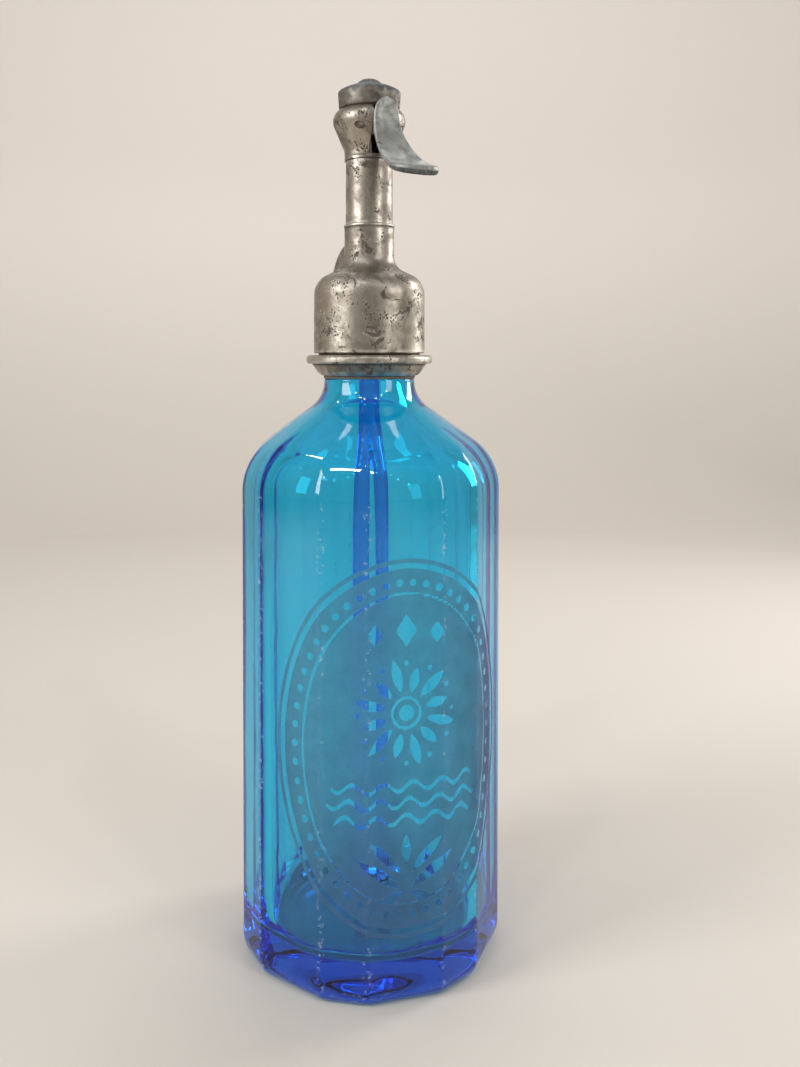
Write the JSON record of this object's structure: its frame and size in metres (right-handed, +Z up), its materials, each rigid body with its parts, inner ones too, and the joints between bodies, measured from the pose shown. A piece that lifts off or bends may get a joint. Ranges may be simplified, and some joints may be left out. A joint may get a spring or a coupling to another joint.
{
  "type": "soda siphon",
  "caption": "Panelled blue glass siphon bottle with a pewter head, a thumb lever that lifts the valve rod, a bent spout and a glass dip tube.",
  "frame": {"origin": "centre of the bottle on the surface that it stands on, under the axis of the bottle and head", "axes": "+Z up along the axis of the bottle, +X towards the tip of the thumb lever, so the spout is on the -X side"},
  "size_m": [0.0957, 0.0947, 0.318],
  "materials": {
    "bottle": "clear blue pressed glass, frosted on the front",
    "packing": "perished grey rubber",
    "pewter": "worn grey pewter, pitted",
    "seal": "black rubber",
    "holder": "ivory hard plastic",
    "dip_glass": "cobalt blue glass tube",
    "brass": "turned brass",
    "steel": "drawn steel rod",
    "lever_pewter": "smooth blue-grey pewter",
    "cap_pewter": "pewter with a dark patina on top",
    "leather": "thin leather washer"
  },
  "bodies": {
    "siphon": {"bottle": "bottle", "collar_packing": "packing", "collar_ring": "pewter", "split_ring_left": "pewter", "split_ring_right": "pewter", "bottle_gasket": "seal", "tube_holder": "holder", "tube_seal": "seal", "dip_tube": "dip_glass", "head_gasket": "seal", "bell": "pewter", "valve_seat": "brass", "spout": "pewter", "neck_tube": "pewter", "gland_seal": "seal", "gland_nut": "brass", "lever_chamber": "pewter", "lever_pin": "steel", "cap": "cap_pewter", "cap_washer": "leather"},
    "thumb_lever": {"lever": "lever_pewter"},
    "valve_stem": {"valve_rod": "steel", "valve_washer": "seal", "washer_nut": "brass", "rod_head": "brass", "spring": "steel"}
  },
  "joints": [
    {"name": "lever_press", "type": "hinge", "parent": "siphon", "child": "thumb_lever", "pos_m": [0.0092, 0, 0.2988], "axis": [0, 1, 0], "range_deg": [0, 18], "stiffness_Nm_per_rad": 0.13, "springref_deg": -18.33},
    {"name": "rod_lift", "type": "slide", "parent": "siphon", "child": "valve_stem", "axis": [0, 0, 1], "range_m": [0, 0.0029], "deforming": ["spring"]}
  ],
  "couplings": [
    {"joint": "rod_lift", "follows": "lever_press", "m_per_rad": 0.0092}
  ]
}
